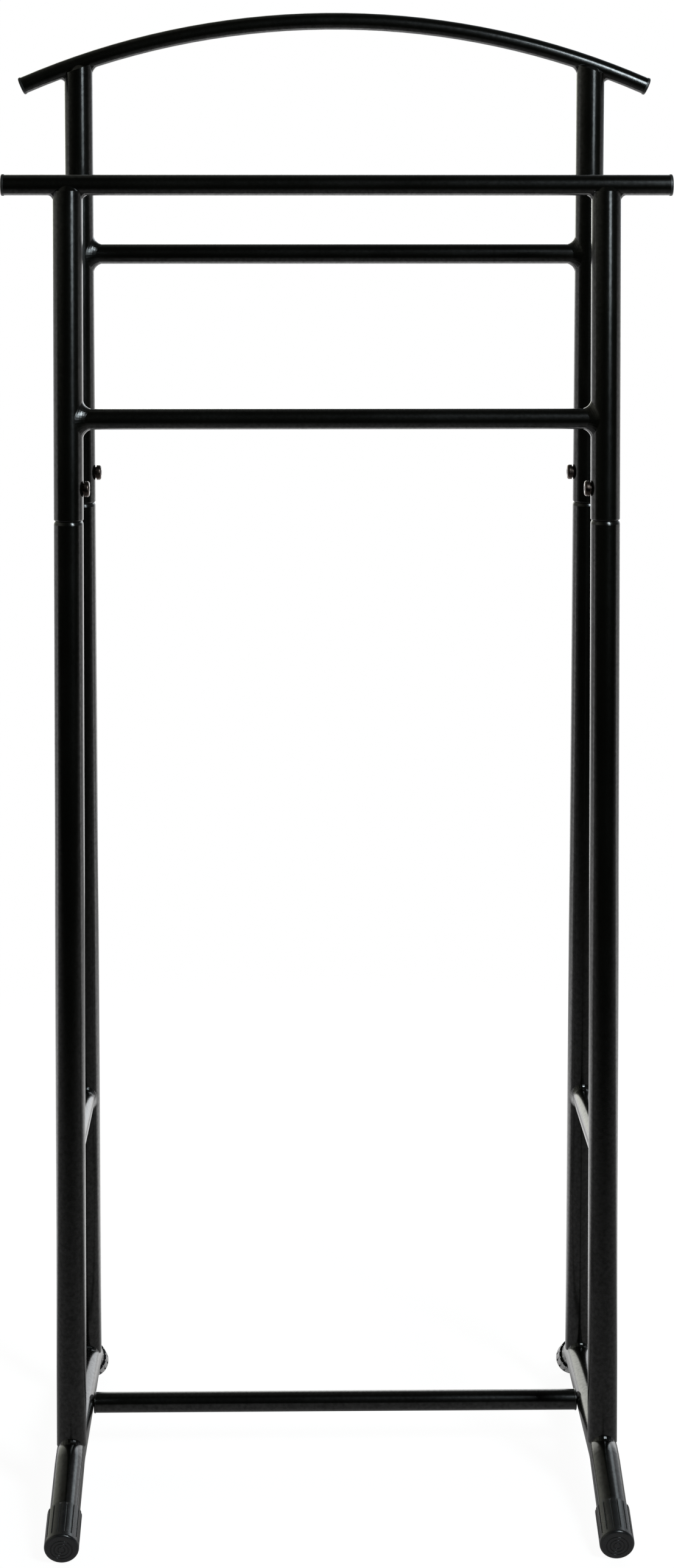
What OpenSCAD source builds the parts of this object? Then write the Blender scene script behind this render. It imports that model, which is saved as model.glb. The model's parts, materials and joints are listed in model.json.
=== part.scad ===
// Valet stand of welded and screwed steel tube: two bent base tubes, four uprights in two
// lengths each, cross rails at the front, rear, sides and bottom, and a bowed hanger rail.
// +X is right, +Y is rear and +Z is up. The origin is on the floor, under the middle of the stand.

/* [Overall] */
// Width of the stand, over the end caps of the front top rail
overall_w = 450; // [410:1:540]
// Depth of the stand, over its foot caps
overall_d = 322; // [300:1:390]
// Height of the stand, to the top of the hanger rail
overall_h = 1017; // [985:1:1250]

/* [Uprights] */
// Diameter of the uprights
upright_d = 20; // [18:0.5:20]
// Wall of the uprights
upright_wall = 1.2; // [0.8:0.1:1.6]
// Distance between the left and right uprights, axis to axis
upright_span = 361; // [320:1:400]
// Distance between the front and rear uprights at the base tubes, axis to axis
upright_gap = 163; // [130:1:180]
// Forward lean of the rear uprights, in degrees
rear_lean = 3.4; // [0:0.1:4.5]
// Height at which the upper uprights seat on the lower ones
joint_h = 670; // [450:1:690]

/* [Swaged joint] */
// Length of the swaged end inside the upper upright
spigot_len = 42; // [35:1:60]
// Radial clearance between the swaged end and the upper upright
spigot_clear = 0.1; // [0.05:0.05:0.2]
// Radius of the shoulder that the upper upright seats on
shoulder_r = 4; // [2:0.5:6]
// Radius of the rounded lower edge of the upper upright
lip_r = 0.7; // [0.3:0.1:0.8]

/* [Rails] */
// Diameter of the straight rails
rail_d = 14; // [12:0.5:16]
// Wall of all rails
rail_wall = 1.2; // [0.8:0.1:1.6]
// Height of the front top rail's axis
front_top_h = 895; // [820:1:930]
// Height of the front mid rail's axis
front_mid_h = 738; // [725:1:800]
// Height of the rear rail's axis
rear_rail_h = 847; // [740:1:900]
// Height of the side rails' axes
side_rail_h = 233; // [100:1:600]
// Distance of the bottom rail behind the front uprights
bottom_rail_setback = 80; // [40:1:110]
// How far a rail sinks into the top of an upright
saddle_depth = 3; // [1.5:0.5:4]

/* [Welds] */
// Size of the weld fillets round the ends of the front mid rail and the rear rail
rail_weld = 5; // [2:0.5:6]
// Size of the weld fillets round the ends of the side rails
side_weld = 3; // [2:0.5:5]
// Size of the weld fillets under the front top rail and the hanger rail
saddle_weld = 3; // [2:0.5:4]
// Size of the weld fillets at the feet of the uprights
foot_weld = 2.5; // [1.5:0.5:4]

/* [Hanger rail] */
// Diameter of the hanger rail
hanger_d = 12; // [10:0.5:14]
// Width of the hanger rail, over its end caps
hanger_w = 442; // [400:1:480]
// Rise of the hanger rail, from its ends to its middle
hanger_rise = 46; // [30:1:60]

/* [Base tubes] */
// Diameter of the base tubes
base_d = 20; // [20:0.5:21]
// Wall of the base tubes
base_wall = 1.2; // [0.8:0.1:1.6]
// Height of the level stretch's axis
base_h = 36; // [30:1:45]
// Radius of the bends, on the axis
bend_r = 50; // [30:1:60]
// How much the tube is drawn in where it is bent, on the radius
bend_draw = 0.05; // [0.05:0.01:0.1]
// Distance of the front uprights behind the front of the foot caps
front_reach = 96; // [85:1:110]
// Slope of the front feet, in degrees
front_slope = 17.5; // [15:0.5:22]
// Slope of the rear feet, in degrees
rear_slope = 26.5; // [22:0.5:30]

/* [Foot caps] */
// Diameter of the foot caps
foot_d = 22.8; // [22.5:0.1:25]
// Length of the foot caps
foot_len = 31; // [25:1:34]
// Thickness of the foot caps' closed end
foot_floor = 3; // [2:0.5:5]
// Radius of the foot caps' rounded edge
foot_edge_r = 2; // [1:0.5:2.5]
// Number of grip grooves around a foot cap
foot_grooves = 16; // [8:1:20]
// Radius of a grip groove
groove_r = 0.6; // [0.4:0.1:0.8]
// Number of ring grooves on the closed end
foot_rings = 3; // [1:1:4]
// Radius of a ring groove
ring_groove_r = 0.4; // [0.3:0.1:0.6]
// Length of the smooth band between the grooves and the closed end
groove_stop = 4.5; // [3:0.5:8]
// Radial clearance between the foot caps and the base tubes
foot_clear = 0.1; // [0.05:0.05:0.2]

/* [Rail end caps] */
// Thickness of a cap's flange
cap_flange = 2; // [1:0.5:4]
// How far the flange stands proud of the rail all round
cap_proud = 0.3; // [0.1:0.1:1]
// Length of the plug inside the rail
cap_plug = 10; // [6:1:12]
// Radial clearance between the plug and the rail
cap_clear = 0.2; // [0.15:0.05:0.3]

/* [Screws] */
// Thread diameter of all screws
screw_d = 6; // [5:0.5:6]
// Diameter of the screw heads
head_d = 10.6; // [9:0.1:12]
// Height of the screw heads
head_h = 3.3; // [2.5:0.1:5]
// Diameter of the collar under a screw head
collar_d = 8.4; // [7:0.1:9]
// Height of the collar under a screw head
collar_h = 0.8; // [0.5:0.1:1.5]
// Width across the flats of the hex socket
socket_af = 4; // [3:0.5:5]
// Depth of the hex socket
socket_depth = 2; // [1:0.1:2.5]
// Distance of the joint screws above the joint
screw_above_joint = 21; // [15:1:28]
// Radial clearance of the screw holes
hole_clear = 0.2; // [0.1:0.05:0.4]
// Radial clearance of the threads
thread_clear = 0.05; // [0.02:0.01:0.1]
// Gap between a flat end or head and the round tube that it bears on
seat_gap = 0.1; // [0.05:0.05:0.3]
// Width across the flats of the nuts inside the swaged ends
nut_af = 10; // [9:0.5:10]
// Thickness of the nuts
nut_t = 5; // [4:0.5:5.5]
// Length of the threaded plugs inside the bottom rail
rail_plug_len = 20; // [15:1:30]
// How far the rolled lip at the bottom rail's ends stands proud
rail_lip = 0.4; // [0.2:0.1:0.8]
// Length of the rolled lip
rail_lip_len = 1.4; // [1:0.2:2]
// How far the bottom rail's screws reach into the threaded plugs
rail_screw_reach = 14; // [8:1:18]

/* [Hidden] */
$fn = 64;
SIDES = ["left", "right"];
ENDS = ["front", "rear"];

upright_r = upright_d / 2;
upright_bore_r = upright_r - upright_wall;
spigot_r = upright_bore_r - spigot_clear;
spigot_bore_r = spigot_r - upright_wall;
// Height of the shoulder's arc, from full width to the bore that seats on it
shoulder_h = sqrt(pow(shoulder_r, 2) - pow(shoulder_r - upright_wall, 2));

rail_r = rail_d / 2;
hanger_r = hanger_d / 2;
base_r = base_d / 2;
foot_r = foot_d / 2;
screw_r = screw_d / 2;
hole_r = screw_r + hole_clear;
thread_r = screw_r + thread_clear;

upright_x = upright_span / 2;
front_y = front_reach - overall_d / 2;
rear_y = front_y + upright_gap;
// The horns of an upright's foot are trimmed at this height above the base tube's axis
horn_trim = 0.45 * base_r;

function foot_slope(end) = end == "front" ? front_slope : rear_slope;
// Height of a foot cap's end centre, so that its rounded edge rests on the floor
function foot_end_z(slope) =
    foot_edge_r * (1 - sin(slope)) + (foot_r - foot_edge_r) * cos(slope);
// How far the rounded edge reaches past the end centre, along Y
function foot_end_reach(slope) =
    foot_edge_r * (1 - cos(slope)) + (foot_r - foot_edge_r) * sin(slope);
// Distance from the middle of the stand to the point where the axes of level and slope meet
function vertex_y(slope) =
    overall_d / 2 - foot_end_reach(slope) - (base_h - foot_end_z(slope)) / tan(slope);
// Distance from that point to the ends of the bend
function bend_tangent(slope) = bend_r * tan(slope / 2);
// Distance from the middle of the stand to the start of the bend, to a hundredth
function bend_start(slope) = round((vertex_y(slope) - bend_tangent(slope)) * 100) / 100;
// Length of the sloping axis from the end of the bend to the foot cap's outer end
function slope_len(slope) = (base_h - foot_end_z(slope)) / sin(slope) - bend_tangent(slope);

// Distances along the leaning axis of the rear uprights, from the base tube's axis
function along_lean(h) = (h - base_h) / cos(rear_lean);
hanger_mid = along_lean(overall_h - hanger_r);
bow_r = (pow(hanger_w / 2, 2) + pow(hanger_rise, 2)) / (2 * hanger_rise);
hanger_at_upright = hanger_mid - bow_r + sqrt(pow(bow_r, 2) - pow(upright_x, 2));
bow_end_angle = asin(hanger_w / 2 / bow_r);
bow_tube_angle = bow_end_angle - cap_flange / bow_r * 180 / PI;

bottom_rail_y = front_y + bottom_rail_setback;
bottom_rail_end = upright_x - base_r - seat_gap;

// How far the edges of a weld fillet run on inside the walls that it joins
weld_sink = 0.35;
// How far its root lies inside the main tube
weld_root = 1.2;
// How far the pull of its hollow face stays out of the corner, as a share of its size
weld_hollow = 0.25;
// The share of its size that is left where it fades out
weld_fade = 0.15;
// Steps across a fillet's hollow face, and round a branch
weld_steps = 5;
weld_turns = 36;

tube_colour = "#1d1e1c";
rubber_colour = "#141414";
screw_colour = "#2b231e";
nut_colour = "#8a8c8e";

// ---- Placing ----

// Puts a piece that is drawn for the left side on the side that is named
module on_side(side) {
    if (side == "left") children();
    else mirror([1, 0, 0]) children();
}

// Puts a piece that is drawn upright at the origin in the plane of the front or rear frame,
// at the base tubes' axis height
module in_frame(end) {
    if (end == "front") translate([0, front_y, base_h]) children();
    else translate([0, rear_y, base_h]) rotate([rear_lean, 0, 0]) children();
}

// Distance along the uprights of a frame, from the base tubes' axis, at a height
function frame_v(end, h) = end == "front" ? h - base_h : along_lean(h);

// Lays a piece that is drawn along +Z along +X
module along_x() {
    rotate([0, 90, 0]) children();
}

// ---- Shared shapes ----

// A tube along +Z
module tube(r, wall, h) {
    difference() {
        cylinder(r = r, h = h);
        translate([0, 0, -1]) cylinder(r = r - wall, h = h + 2);
    }
}

// A solid rod along X, with its middle at the origin
module rod_x(r, length) {
    translate([-length / 2, 0, 0]) along_x() cylinder(r = r, h = length);
}

// The profile of a rod's end with a rounded outer edge, with its end at the height h
module rounded_profile(r, h, edge_r) {
    square([r - edge_r, h]);
    square([r, h - edge_r]);
    translate([r - edge_r, h - edge_r]) intersection() {
        circle(r = edge_r);
        square(edge_r);
    }
}

// ---- Welds ----

// A fillet is drawn round a branch along +Z that stands on a main tube along X. Its function
// wall(x, y) gives the height of the main tube's wall

function circle_z(r, y) = sqrt(pow(r, 2) - pow(y, 2));

// The outline of a fillet's section, as distances from the branch's wall and heights above the
// main tube's wall: its root and its hollow face, whose ends run on inside both walls
function weld_outline(size) =
    let(bend = weld_hollow * size,
        run = size + weld_sink * (1 - weld_hollow) / weld_hollow)
    concat([[-weld_sink, -weld_root], [-weld_sink, run]],
           [for (i = [1 : weld_steps - 1])
            let(t = i / weld_steps,
                middle = 2 * t * (1 - t) * bend)
            [t * t * size + middle, (1 - t) * (1 - t) * size + middle]],
           [[run, -weld_sink], [run, -weld_root]]);

// The section at one turn round a branch of radius r. side is the fillet's size across the main
// tube, as a share of its size along it
function weld_section(r, size, side, wall, turn) =
    [for (point = weld_outline(size))
     let(x = (r + point.x) * cos(turn),
         y = (r + point.x * (point.x > 0 ? side : 1)) * sin(turn))
     [x, y, wall(x, y) + point.y]];

// The solid through a list of outlines, closed to a ring or with flat ends
module loft(sections, ring) {
    rows = len(sections);
    points = len(sections[0]);
    walls = [for (i = [0 : rows - (ring ? 1 : 2)], j = [0 : points - 1])
             let(k = (j + 1) % points,
                 here = i * points,
                 next = (i + 1) % rows * points)
             each [[here + k, here + j, next + j], [here + k, next + j, next + k]]];
    last = (rows - 1) * points;
    ends = [for (j = [1 : points - 2]) each [[0, j, j + 1], [last, last + j + 1, last + j]]];
    polyhedron([for (section = sections) each section], concat(walls, ring ? [] : ends));
}

// A fillet all round a branch
module weld_ring(r, size, side, wall) {
    loft([for (i = [0 : weld_turns - 1])
          weld_section(r, size, side, wall, i * 360 / weld_turns)], true);
}

// Two fillets, each side of a branch along the main tube of radius main_r. They fade out where the
// branch's wall ends, at the height wall_end above the main tube's axis
module weld_pair(r, main_r, wall_end, size, wall) {
    half_angle = asin(circle_z(main_r, wall_end + weld_sink) / r);
    steps = round(half_angle / 360 * weld_turns);
    for (middle = [0, 180])
        loft([for (i = [-steps : steps])
              weld_section(r, size * max(weld_fade, circle_z(1, i / steps)), 0, wall,
                           middle + half_angle * i / steps)], false);
}

// ---- Base tubes ----

// A bend round the origin, as a solid of radius r, from one angle to the next.
// The angles count from the level end of the bend, which is over the origin
module bend(r, from, to) {
    rotate([0, -90, 0]) rotate_extrude(start = from, angle = to - from)
        translate([bend_r, 0]) circle(r = r);
}

// The straight run down a slope from the end of the bend round the origin, as a solid of radius r.
// It starts the lap before the end of the bend
module slope_run(slope, r, lap, run) {
    rotate([-slope, 0, 0]) translate([0, -lap, bend_r]) rotate([-90, 0, 0])
        cylinder(r = r, h = run + lap);
}

// The level stretch between the bends, as a solid of radius r, with the lap at both ends
module level_run(r, lap) {
    translate([0, -bend_start(front_slope) - lap, 0]) rotate([-90, 0, 0])
        cylinder(r = r, h = bend_start(front_slope) + bend_start(rear_slope) + 2 * lap);
}

// Puts the front or rear end of a base tube, drawn round the centre of its bend and towards +Y,
// where it belongs
module at_bend(end) {
    if (end == "front") translate([0, -bend_start(front_slope), -bend_r]) rotate([0, 0, 180])
        children();
    else translate([0, bend_start(rear_slope), -bend_r]) children();
}

// The outside of a base tube
module base_course() {
    lap = 0.5;
    translate([-upright_x, 0, base_h]) {
        level_run(base_r, lap);
        for (end = ENDS) at_bend(end) {
            slope = foot_slope(end);
            bend(base_r - bend_draw, 0, slope);
            slope_run(slope, base_r, lap, slope_len(slope) - foot_floor - foot_clear);
        }
    }
}

// The inside of a base tube, open at both ends
module base_bore() {
    bore_r = base_r - base_wall;
    lap = 0.8;
    turn = 1.5;
    translate([-upright_x, 0, base_h]) {
        level_run(bore_r, lap);
        for (end = ENDS) at_bend(end) {
            slope = foot_slope(end);
            bend(bore_r - 2 * bend_draw, -turn, slope + turn);
            slope_run(slope, bore_r, lap, slope_len(slope));
        }
    }
}

module base_tube(side) {
    color(tube_colour) on_side(side) difference() {
        base_course();
        base_bore();
        translate([-upright_x, bottom_rail_y, base_h]) rod_x(hole_r, 2 * base_d);
    }
}

// ---- Uprights ----

// The profile of a lower upright, with the joint at the origin and the foot the length below it
module lower_profile(length) {
    difference() {
        union() {
            translate([0, -length]) square([upright_r, length - shoulder_h]);
            translate([upright_r - shoulder_r, -shoulder_h]) intersection() {
                circle(r = shoulder_r);
                square([shoulder_r, shoulder_h]);
            }
            translate([0, -length]) square([spigot_r, length + spigot_len]);
        }
        polygon([[0, -length - 1],
                 [upright_bore_r, -length - 1],
                 [upright_bore_r, -shoulder_h - upright_wall],
                 [spigot_bore_r, -upright_wall],
                 [spigot_bore_r, spigot_len + 1],
                 [0, spigot_len + 1]]);
    }
}

// How far a base tube's top has fallen at the distance y behind the middle of the stand
function base_drop(y) =
    let(past = max(0, -y - bend_start(front_slope), y - bend_start(rear_slope)))
    bend_r - sqrt(pow(bend_r, 2) - pow(past, 2));

// The fillets in front of an upright's foot and behind it, on the base tube
module foot_weld_shape(end) {
    lean = end == "front" ? 0 : rear_lean;
    foot_y = end == "front" ? front_y : rear_y;
    rotate([0, 0, 90]) weld_pair(upright_r, base_r, horn_trim, foot_weld, function(x, y)
        (circle_z(base_r, y) - base_drop(foot_y + x)) / cos(lean) - x * tan(lean));
}

module lower_upright(end, side) {
    joint = frame_v(end, joint_h);
    color(tube_colour) on_side(side) difference() {
        in_frame(end) translate([-upright_x, 0, 0]) {
            difference() {
                translate([0, 0, joint]) rotate_extrude() lower_profile(joint - horn_trim);
                translate([0, 0, joint + screw_above_joint]) along_x()
                    cylinder(r = hole_r, h = upright_d);
            }
            foot_weld_shape(end);
        }
        base_course();
    }
}

// The profile of an upper upright from the joint to its top
module upper_profile(joint, top) {
    difference() {
        translate([0, joint]) square([upright_r, top - joint]);
        translate([0, joint - 1]) square([upright_bore_r, top - joint + 2]);
        translate([upright_r - lip_r, joint - 1]) difference() {
            square([lip_r + 1, 1 + lip_r]);
            translate([0, 1 + lip_r]) circle(r = lip_r);
        }
    }
}

// The weld at the top of an upright, under a rail of radius r that slopes by the angle and has its
// axis at the origin: a fillet on the left and right, and a bead that closes the upright's end in
// front of the rail and behind it
module saddle_weld_shape(r, slope, wall) {
    wall_end = r - saddle_depth;
    rotate([180, 0, 0]) weld_pair(upright_r, r, wall_end, saddle_weld, wall);
    rotate([0, -slope, 0]) translate([-wall_end * tan(slope), 0, -wall_end])
        cylinder(r1 = upright_r - weld_sink, r2 = r - weld_sink, h = wall_end);
}

module upper_upright(end, side) {
    joint = frame_v(end, joint_h);
    seated_r = end == "front" ? rail_r : hanger_r;
    seat = end == "front" ? frame_v(end, front_top_h) : hanger_at_upright;
    slope = end == "front" ? 0 : asin(upright_x / bow_r);
    bow_z = circle_z(bow_r, upright_x);
    wall = end == "front"
        ? function(x, y) circle_z(rail_r, y)
        : function(x, y) bow_z - circle_z(bow_r - circle_z(hanger_r, y), x - upright_x);
    color(tube_colour) on_side(side) in_frame(end) difference() {
        translate([-upright_x, 0, 0]) {
            difference() {
                rotate_extrude() upper_profile(joint, seat + upright_r);
                translate([0, 0, joint + screw_above_joint]) along_x()
                    cylinder(r = hole_r, h = upright_d);
                translate([0, 0, seat]) rotate([0, -slope, 0])
                    translate([-upright_d, -upright_d, saddle_depth - seated_r])
                    cube(2 * upright_d);
            }
            translate([0, 0, seat]) saddle_weld_shape(seated_r, slope, wall);
        }
        if (end == "front") translate([0, 0, seat]) rod_x(rail_r, overall_w);
        else hanger_bow(hanger_r, bow_end_angle);
    }
}

// The fillet round the end of a rail on an upright that leans by the angle along the rail's side
module rail_weld_shape(size, lean = 0) {
    side = min(1, (0.93 * upright_r - rail_r) / weld_outline(size)[1].y);
    weld_ring(rail_r, size, side, function(x, y)
        circle_z(upright_r, y) / cos(lean) + x * tan(lean));
}

// A rail along X between the uprights of a frame, coped round them and welded, at the distance v
// up the frame
module cross_rail(v) {
    difference() {
        union() {
            translate([-upright_x, 0, v]) along_x() tube(rail_r, rail_wall, upright_span);
            for (side = SIDES)
                on_side(side) translate([-upright_x, 0, v]) along_x() rail_weld_shape(rail_weld);
        }
        for (x = [-upright_x, upright_x])
            translate([x, 0, v - 2 * rail_d]) cylinder(r = upright_r, h = 4 * rail_d);
    }
}

module front_top_rail() {
    length = overall_w - 2 * cap_flange;
    color(tube_colour) in_frame("front") translate([-length / 2, 0, frame_v("front", front_top_h)])
        along_x() tube(rail_r, rail_wall, length);
}

module front_mid_rail() {
    color(tube_colour) in_frame("front") cross_rail(frame_v("front", front_mid_h));
}

module rear_rail() {
    color(tube_colour) in_frame("rear") cross_rail(frame_v("rear", rear_rail_h));
}

module bottom_rail() {
    lip_r = 0.45 * rail_lip_len;
    color(tube_colour) {
        translate([-bottom_rail_end, bottom_rail_y, base_h])
            along_x() tube(rail_r, rail_wall, 2 * bottom_rail_end);
        for (side = SIDES)
            on_side(side) translate([rail_lip_len / 2 - bottom_rail_end, bottom_rail_y, base_h])
                along_x() rotate_extrude() translate([rail_r + rail_lip - lip_r, 0])
                circle(r = lip_r);
    }
}

module side_rail(side) {
    length = upright_gap - (side_rail_h - base_h) * tan(rear_lean);
    color(tube_colour) on_side(side) difference() {
        translate([-upright_x, front_y, side_rail_h]) {
            rotate([-90, 0, 0]) tube(rail_r, rail_wall, length);
            rotate([-90, 90, 0]) rail_weld_shape(side_weld);
            translate([0, length, 0]) rotate([90, 90, 0]) rail_weld_shape(side_weld, -rear_lean);
        }
        for (end = ENDS)
            in_frame(end) translate([-upright_x, 0, frame_v(end, side_rail_h) - 2 * rail_d])
                cylinder(r = upright_r, h = 4 * rail_d);
    }
}

// The bow of the hanger rail in its frame, as a solid of radius r, to the angle on both sides
module hanger_bow(r, angle) {
    around_tube = $fn;
    translate([0, 0, hanger_mid - bow_r]) rotate([90, 0, 0])
        rotate_extrude(start = 90 - angle, angle = 2 * angle, $fn = 4 * around_tube)
        translate([bow_r, 0]) circle(r = r, $fn = around_tube);
}

module hanger_rail() {
    color(tube_colour) in_frame("rear") difference() {
        hanger_bow(hanger_r, bow_tube_angle);
        hanger_bow(hanger_r - rail_wall, bow_end_angle);
    }
}

// ---- Caps ----

// A foot cap with its axis along +Z and its closed end at the origin
module foot_cap_shape() {
    difference() {
        rotate_extrude() difference() {
            translate([0, foot_len]) mirror([0, 1]) rounded_profile(foot_r, foot_len, foot_edge_r);
            translate([0, foot_floor]) square([base_r + foot_clear, foot_len]);
            for (i = [1 : foot_rings])
                translate([i * (foot_r - foot_edge_r) / (foot_rings + 1), 0])
                    circle(r = ring_groove_r);
        }
        for (i = [0 : foot_grooves - 1])
            rotate([0, 0, (i + 0.5) * 360 / foot_grooves])
                translate([foot_r, 0, groove_stop]) cylinder(r = groove_r, h = foot_len);
    }
}

module foot_cap(end, side) {
    slope = foot_slope(end);
    end_y = overall_d / 2 - foot_end_reach(slope);
    color(rubber_colour) on_side(side) mirror([0, end == "front" ? 1 : 0, 0])
        translate([-upright_x, end_y, foot_end_z(slope)]) rotate([90 - slope, 0, 0])
        foot_cap_shape();
}

// A plug for a rail of radius r along +Z, with its flange's outer face at the origin
module end_cap_shape(r) {
    flange_r = r + cap_proud;
    rotate_extrude()
        translate([0, cap_flange]) mirror([0, 1])
        rounded_profile(flange_r, cap_flange, cap_flange / 2);
    cylinder(r = r - rail_wall - cap_clear, h = cap_flange + cap_plug);
}

module front_rail_end_cap(side) {
    color(rubber_colour) on_side(side) in_frame("front")
        translate([-overall_w / 2, 0, frame_v("front", front_top_h)])
        along_x() end_cap_shape(rail_r);
}

module hanger_rail_end_cap(side) {
    color(rubber_colour) on_side(side) in_frame("rear")
        translate([0, 0, hanger_mid - bow_r]) rotate([0, -bow_tube_angle, 0])
        translate([-cap_flange, 0, bow_r]) along_x() end_cap_shape(hanger_r);
}

// ---- Screws, nuts and threaded plugs ----

// A screw along Z with the underside of its collar at the origin and its shank towards -Z
module screw_shape(length) {
    difference() {
        union() {
            cylinder(d = collar_d, h = collar_h + head_h / 4);
            translate([0, 0, collar_h]) rotate_extrude()
                rounded_profile(head_d / 2, head_h, head_h / 2);
            translate([0, 0, -length]) cylinder(r = screw_r, h = length + head_h / 2);
        }
        translate([0, 0, collar_h + head_h - socket_depth])
            cylinder(d = socket_af / cos(30), h = socket_depth + 1, $fn = 6);
    }
}

// Place of a joint screw's axis where it crosses the upright's axis, with +Z along the screw,
// towards the middle of the stand
module at_joint_screw(end, side) {
    on_side(side) in_frame(end)
        translate([-upright_x, 0, frame_v(end, joint_h) + screw_above_joint]) along_x() children();
}

// Distance from the upright's axis to the nut's outer face, where its edges meet the swaged bore
nut_face = sqrt(pow(spigot_bore_r, 2) - pow(nut_af / 2, 2)) - seat_gap;

module joint_screw(end, side) {
    color(screw_colour) at_joint_screw(end, side)
        translate([0, 0, upright_r + seat_gap])
        screw_shape(upright_r + seat_gap - nut_face + nut_t + 1);
}

module joint_nut(end, side) {
    color(nut_colour) at_joint_screw(end, side)
        translate([0, 0, nut_face - nut_t]) difference() {
            cylinder(d = nut_af / cos(30), h = nut_t, $fn = 6);
            translate([0, 0, -1]) cylinder(r = thread_r, h = nut_t + 2);
        }
}

module bottom_rail_screw(side) {
    color(screw_colour) on_side(side)
        translate([-upright_x - base_r - seat_gap, bottom_rail_y, base_h]) rotate([0, -90, 0])
        screw_shape(base_d + 2 * seat_gap + rail_screw_reach);
}

module bottom_rail_plug(side) {
    color(nut_colour) on_side(side)
        translate([-bottom_rail_end, bottom_rail_y, base_h]) along_x() difference() {
            cylinder(r = rail_r - rail_wall - thread_clear, h = rail_plug_len);
            translate([0, 0, -1]) cylinder(r = thread_r, h = rail_plug_len + 2);
        }
}

// ---- The stand ----

for (side = SIDES) {
    base_tube(side);
    side_rail(side);
    front_rail_end_cap(side);
    hanger_rail_end_cap(side);
    bottom_rail_screw(side);
    bottom_rail_plug(side);
    for (end = ENDS) {
        corner = str(end, "_", side);
        lower_upright(end, side);
        upper_upright(end, side);
        foot_cap(end, side);
        joint_screw(end, side);
        joint_nut(end, side);
    }
}
front_top_rail();
front_mid_rail();
rear_rail();
hanger_rail();
bottom_rail();
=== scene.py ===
"""The valet stand's finishes, studio, floor and camera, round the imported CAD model."""
import json
import math

import bpy
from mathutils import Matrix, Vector

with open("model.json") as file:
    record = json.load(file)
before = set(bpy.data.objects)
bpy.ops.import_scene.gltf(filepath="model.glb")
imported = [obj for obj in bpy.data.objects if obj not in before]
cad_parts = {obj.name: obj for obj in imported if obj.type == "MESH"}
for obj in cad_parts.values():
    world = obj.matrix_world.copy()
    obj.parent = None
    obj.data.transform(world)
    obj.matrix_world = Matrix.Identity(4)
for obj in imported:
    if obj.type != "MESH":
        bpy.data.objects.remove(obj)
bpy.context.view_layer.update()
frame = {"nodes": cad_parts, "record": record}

# ---- Camera, in metres and degrees, in the stand's frame ----
CAMERA_AT = (-0.0323, -2.036, 0.881)
CAMERA_TURN = 0.932  # to the right of the stand's own front-to-back direction
CAMERA_TILT = 2.096  # down
CAMERA_LENS = 67.5
CAMERA_SHIFT_Y = -0.30

CAMERA_SEES_TO = 100.0

# ---- Studio: radiances, and colours as linear red, green and blue ----
WORLD_SIDE = 0.14  # beside and above the stand
WORLD_GAIN = 11.0  # brighter by this straight behind, and darker by it straight in front
WORLD_LEFT = 0.58  # the white flat on the left
WORLD_LEFT_FADE = (-105.0, -8.0)  # it fades out between these azimuths, in degrees from the front
WORLD_CEILING = 0.25  # the ceiling gives this share of what the walls give
WORLD_CEILING_FADE = (0.35, 0.85)  # between these sines of the elevation
LEFT_COLOUR = (0.98, 1.0, 0.86)
RIGHT_COLOUR = (0.90, 0.95, 1.0)
COLOUR_FADE = (-0.3, 0.3)  # from left to right between these sines
LAMP_COLOUR = (0.84, 0.95, 1.0)
WHITE = (1.0, 1.0, 1.0)

# name, azimuth in degrees, distance, height of the lower edge, width and height, radiance, colour
LAMPS = (
    ("key", 31.5, 1.55, 0.80, (0.40, 1.2), 8.5, LAMP_COLOUR),
    ("key_core", 31.5, 1.54, 1.25, (0.36, 0.9), 20.0, LAMP_COLOUR),
    ("rim", 143.0, 1.9, 1.15, (0.9, 0.8), 2.2, LAMP_COLOUR),
    ("backdrop", 176.0, 1.6, 0.0, (2.5, 1.4), 1.15, WHITE),
)

# ---- Floor, in metres from the stand's middle ----
FLOOR_HALF = 30.0
FLOOR_COLOUR = (0.86, 0.86, 0.86)
FLOOR_NEAR = (0.3, 1.3)  # the floor turns from shaded to white between these
FLOOR_GLOW = (1.09, 1.0)  # the white's radiance near and far
FLOOR_GLOW_SHARE = (0.86, 1.0)  # the white's share of what the camera sees, near and far
# What the stand's coat mirrors: the floor fades in from the front, is brightest just behind the
# stand and is dimmer further back. The pairs are distances behind the stand's middle.
FLOOR_FRONT = (-1.3, 0.2)
FLOOR_FRONT_MIRRORED = 0.36
FLOOR_BACK = (0.05, 0.35)
FLOOR_BACK_MIRRORED = 1.8
FLOOR_DISTANT = (0.4, 1.1)
FLOOR_DISTANT_SHARE = 0.45


# ---- Node helpers ----

def new_material(name):
    """An empty node material with its output; returns the material and its node tree."""
    material = bpy.data.materials.new(name)
    material.use_nodes = True
    tree = material.node_tree
    tree.nodes.clear()
    return material, tree


def node(tree, kind, inputs=None, **settings):
    """Adds a node, sets its settings, and sets or links its inputs."""
    made = tree.nodes.new(kind)
    for key, value in settings.items():
        setattr(made, key, value)
    for key, value in (inputs or {}).items():
        if isinstance(value, bpy.types.NodeSocket):
            tree.links.new(value, made.inputs[key])
        else:
            made.inputs[key].default_value = value
    return made


def noise(tree, coords, scale, detail=2.0, roughness=0.5):
    """A noise texture's value on the given coordinates, with the scale in cells per metre."""
    made = node(tree, "ShaderNodeTexNoise",
                {"Vector": coords, "Scale": scale, "Detail": detail, "Roughness": roughness})
    return made.outputs["Fac"]


def spread(tree, value, low, high, from_low=0.3, from_high=0.7):
    """Spreads a noise value between two numbers."""
    made = node(tree, "ShaderNodeMapRange",
                {"Value": value, "From Min": from_low, "From Max": from_high,
                 "To Min": low, "To Max": high})
    return made.outputs["Result"]


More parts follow.
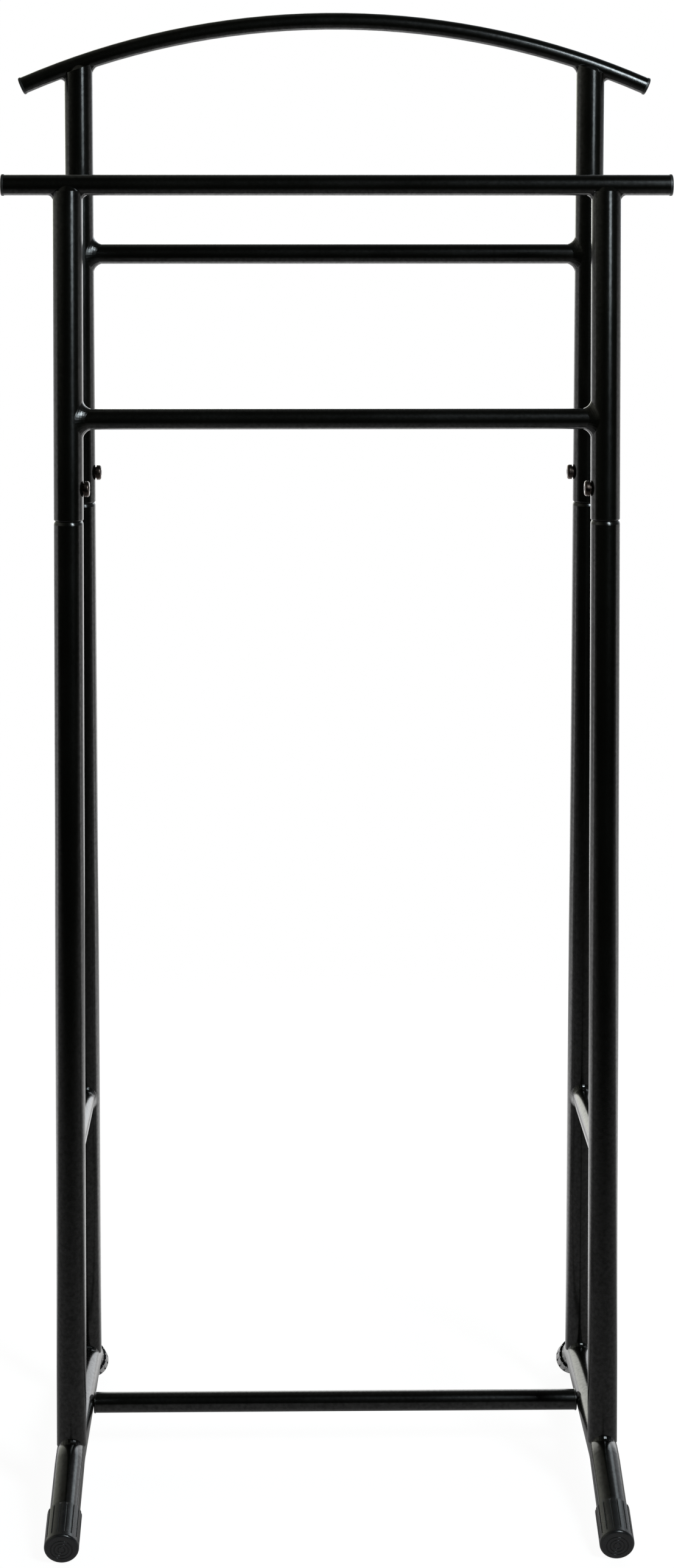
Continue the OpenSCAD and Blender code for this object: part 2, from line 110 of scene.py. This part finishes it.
def fade(tree, value, start, end, low, high):
    """Goes smoothly from one number to another while the value goes from start to end."""
    made = node(tree, "ShaderNodeMapRange",
                {"Value": value, "From Min": start, "From Max": end, "To Min": low, "To Max": high},
                interpolation_type="SMOOTHSTEP")
    return made.outputs["Result"]


def combine(tree, operation, first, second):
    """A math node's value from two numbers."""
    return node(tree, "ShaderNodeMath", {0: first, 1: second}, operation=operation).outputs[0]


def blend_colours(tree, value, first, second):
    """A mix of two colours by a value from 0 to 1."""
    made = node(tree, "ShaderNodeMix", data_type="RGBA")
    tree.links.new(value, made.inputs["Factor"])
    made.inputs["A"].default_value = (*first, 1.0)
    made.inputs["B"].default_value = (*second, 1.0)
    return made.outputs["Result"]


def bump(tree, height, distance, strength=1.0, normal=None):
    """A normal that follows a height, given in parts of the distance in metres."""
    inputs = {"Height": height, "Distance": distance, "Strength": strength}
    if normal is not None:
        inputs["Normal"] = normal
    return node(tree, "ShaderNodeBump", inputs).outputs["Normal"]


def surface(tree, inputs):
    """The Principled shader with these inputs, joined to the output."""
    shader = node(tree, "ShaderNodeBsdfPrincipled", inputs)
    node(tree, "ShaderNodeOutputMaterial", {"Surface": shader.outputs["BSDF"]})


def object_coords(tree):
    """The object's own coordinates, in metres."""
    return node(tree, "ShaderNodeTexCoord").outputs["Object"]


# ---- Finishes, one for each of the record's material slots ----

def powder_coat():
    """Satin black powder coat: a fine orange peel, and gloss that varies a little."""
    material, tree = new_material("powder_coat")
    coords = object_coords(tree)
    patches = noise(tree, coords, 22.0, 3.0)
    peel = noise(tree, coords, 900.0, 2.0)
    grain = noise(tree, coords, 3200.0, 1.0)
    fine = bump(tree, grain, 0.00001, 0.6)
    surface(tree, {
        "Base Color": blend_colours(tree, patches,
                                    (0.0012, 0.0012, 0.0008), (0.0022, 0.0022, 0.0016)),
        "Roughness": spread(tree, patches, 0.18, 0.22),
        "IOR": 1.5,
        "Specular IOR Level": spread(tree, noise(tree, coords, 420.0, 4.0), 0.34, 0.66),
        "Normal": bump(tree, peel, 0.00002, 0.7, fine),
    })
    return material


def rubber_cap():
    """Black moulded rubber: matt, with a fine grain and dusty patches."""
    material, tree = new_material("rubber_cap")
    coords = object_coords(tree)
    dust = noise(tree, coords, 130.0, 4.0)
    grain = noise(tree, coords, 1500.0, 2.0)
    surface(tree, {
        "Base Color": blend_colours(tree, dust,
                                    (0.006, 0.006, 0.0065), (0.013, 0.013, 0.0135)),
        "Roughness": spread(tree, dust, 0.18, 0.30),
        "IOR": 1.5,
        "Normal": bump(tree, grain, 0.00004, 1.0),
    })
    return material


def plastic_cap():
    """Black moulded plastic with a faint sheen."""
    material, tree = new_material("plastic_cap")
    coords = object_coords(tree)
    patches = noise(tree, coords, 160.0, 3.0)
    grain = noise(tree, coords, 2200.0, 2.0)
    surface(tree, {
        "Base Color": blend_colours(tree, patches, (0.008, 0.008, 0.008), (0.014, 0.014, 0.013)),
        "Roughness": spread(tree, patches, 0.36, 0.46),
        "IOR": 1.46,
        "Normal": bump(tree, grain, 0.00001, 0.6),
    })
    return material


def screw_finish():
    """Blackened steel that has turned a little brown, brighter where it is rubbed."""
    material, tree = new_material("screw")
    coords = object_coords(tree)
    patches = noise(tree, coords, 420.0, 3.0)
    surface(tree, {
        "Base Color": blend_colours(tree, spread(tree, patches, 0.0, 1.0),
                                    (0.030, 0.024, 0.021), (0.10, 0.078, 0.068)),
        "Metallic": 1.0,
        "Roughness": spread(tree, patches, 0.22, 0.36),
        "Normal": bump(tree, patches, 0.00002, 0.5),
    })
    return material


def zinc_steel():
    """Bright zinc plating with faint cloudy patches."""
    material, tree = new_material("zinc_steel")
    coords = object_coords(tree)
    clouds = noise(tree, coords, 300.0, 3.0)
    surface(tree, {
        "Base Color": blend_colours(tree, clouds, (0.50, 0.51, 0.53), (0.64, 0.65, 0.66)),
        "Metallic": 1.0,
        "Roughness": spread(tree, clouds, 0.28, 0.42),
        "Normal": bump(tree, clouds, 0.00001, 0.4),
    })
    return material


FINISHES = {
    "powder_coat": powder_coat,
    "rubber_cap": rubber_cap,
    "plastic_cap": plastic_cap,
    "screw": screw_finish,
    "zinc_steel": zinc_steel,
}


def finish_nodes():
    """Gives each CAD node the finish of the material slot that the record names for it."""
    made = {name: make() for name, make in FINISHES.items()}
    for part in frame["record"]["subparts"]:
        mesh = frame["nodes"][part["node"]].data
        mesh.materials.clear()
        mesh.materials.append(made[part["material_slot"]])


# ---- Studio: world, floor and lamps ----

def studio_world():
    """White to the camera. To the stand: brighter from front to back, with a white flat on the
    left."""
    world = bpy.data.worlds.new("studio")
    bpy.context.scene.world = world
    world.use_nodes = True
    tree = world.node_tree
    tree.nodes.clear()
    direction = node(tree, "ShaderNodeTexCoord").outputs["Generated"]
    axes = node(tree, "ShaderNodeSeparateXYZ", {"Vector": direction}).outputs
    front = combine(tree, "MULTIPLY", axes["Y"], -1.0)
    azimuth = combine(tree, "ARCTAN2", axes["X"], front)
    start, end = (math.radians(angle) for angle in WORLD_LEFT_FADE)
    left = fade(tree, azimuth, start, end, WORLD_LEFT, 0.0)
    gain = combine(tree, "POWER", WORLD_GAIN, axes["Y"])
    side = combine(tree, "MULTIPLY", gain, WORLD_SIDE)
    walls = combine(tree, "MAXIMUM", left, side)
    ceiling = fade(tree, axes["Z"], *WORLD_CEILING_FADE, 1.0, WORLD_CEILING)
    turn = fade(tree, axes["X"], *COLOUR_FADE, 0.0, 1.0)
    studio = node(tree, "ShaderNodeBackground",
                  {"Color": blend_colours(tree, turn, LEFT_COLOUR, RIGHT_COLOUR),
                   "Strength": combine(tree, "MULTIPLY", walls, ceiling)})
    white = node(tree, "ShaderNodeBackground", {"Color": (*WHITE, 1.0), "Strength": 1.0})
    path = node(tree, "ShaderNodeLightPath")
    seen = node(tree, "ShaderNodeMixShader",
                {0: path.outputs["Is Camera Ray"],
                 1: studio.outputs["Background"],
                 2: white.outputs["Background"]})
    node(tree, "ShaderNodeOutputWorld", {"Surface": seen.outputs["Shader"]})


def floor():
    """A plain pale floor that keeps the stand's shadow near it and turns white further off."""
    mesh = bpy.data.meshes.new("floor")
    corners = [(x * FLOOR_HALF, y * FLOOR_HALF, 0.0)
               for x, y in ((-1, -1), (1, -1), (1, 1), (-1, 1))]
    mesh.from_pydata(corners, [], [(0, 1, 2, 3)])
    plane = bpy.data.objects.new("floor", mesh)
    bpy.context.scene.collection.objects.link(plane)
    material, tree = new_material("floor")
    coords = object_coords(tree)
    far = node(tree, "ShaderNodeVectorMath", {0: coords}, operation="LENGTH").outputs["Value"]
    depth = node(tree, "ShaderNodeSeparateXYZ", {"Vector": coords}).outputs["Y"]
    path = node(tree, "ShaderNodeLightPath").outputs
    paint = node(tree, "ShaderNodeBsdfDiffuse", {"Color": (*FLOOR_COLOUR, 1.0)})
    white = node(tree, "ShaderNodeEmission",
                 {"Strength": spread(tree, far, *FLOOR_GLOW, *FLOOR_NEAR)})
    share = combine(tree, "MULTIPLY", path["Is Camera Ray"],
                    spread(tree, far, *FLOOR_GLOW_SHARE, *FLOOR_NEAR))
    shown = node(tree, "ShaderNodeMixShader",
                 {0: share, 1: paint.outputs["BSDF"], 2: white.outputs["Emission"]})
    in_front = fade(tree, depth, *FLOOR_FRONT, 0.0, FLOOR_FRONT_MIRRORED)
    behind = combine(tree, "MULTIPLY",
                     fade(tree, depth, *FLOOR_BACK, 0.0, FLOOR_BACK_MIRRORED),
                     fade(tree, depth, *FLOOR_DISTANT, 1.0, FLOOR_DISTANT_SHARE))
    mirrored = node(tree, "ShaderNodeEmission",
                    {"Strength": combine(tree, "MAXIMUM", in_front, behind)})
    mixed = node(tree, "ShaderNodeMixShader",
                 {0: path["Is Glossy Ray"],
                  1: shown.outputs["Shader"], 2: mirrored.outputs["Emission"]})
    node(tree, "ShaderNodeOutputMaterial", {"Surface": mixed.outputs["Shader"]})
    mesh.materials.append(material)


def light_panel(name, azimuth, distance, low, size, radiance, colour):
    """An upright rectangular lamp that faces the stand's middle. Azimuth counts from the front, to
    the right, and low is the height of its lower edge."""
    turn = math.radians(azimuth)
    towards = Vector((math.sin(turn), -math.cos(turn), 0.0))
    lamp = bpy.data.lights.new(name, "AREA")
    lamp.shape = "RECTANGLE"
    lamp.size, lamp.size_y = size
    lamp.energy = radiance * math.pi * size[0] * size[1]
    lamp.color = colour
    made = bpy.data.objects.new(name, lamp)
    made.location = towards * distance + Vector((0.0, 0.0, low + size[1] / 2))
    made.rotation_mode = "QUATERNION"
    made.rotation_quaternion = towards.to_track_quat("Z", "Y")
    made.visible_camera = False
    bpy.context.scene.collection.objects.link(made)


def camera():
    """The photo's view of the stand."""
    made = bpy.data.objects.new("camera", bpy.data.cameras.new("camera"))
    made.data.lens = CAMERA_LENS
    made.data.shift_y = CAMERA_SHIFT_Y
    made.data.clip_end = CAMERA_SEES_TO
    made.location = CAMERA_AT
    made.rotation_euler = (math.radians(90.0 - CAMERA_TILT), 0.0, math.radians(-CAMERA_TURN))
    bpy.context.scene.collection.objects.link(made)
    bpy.context.scene.camera = made


camera()
finish_nodes()
studio_world()
floor()
for row in LAMPS:
    light_panel(*row)
bpy.context.scene.view_settings.view_transform = "Standard"
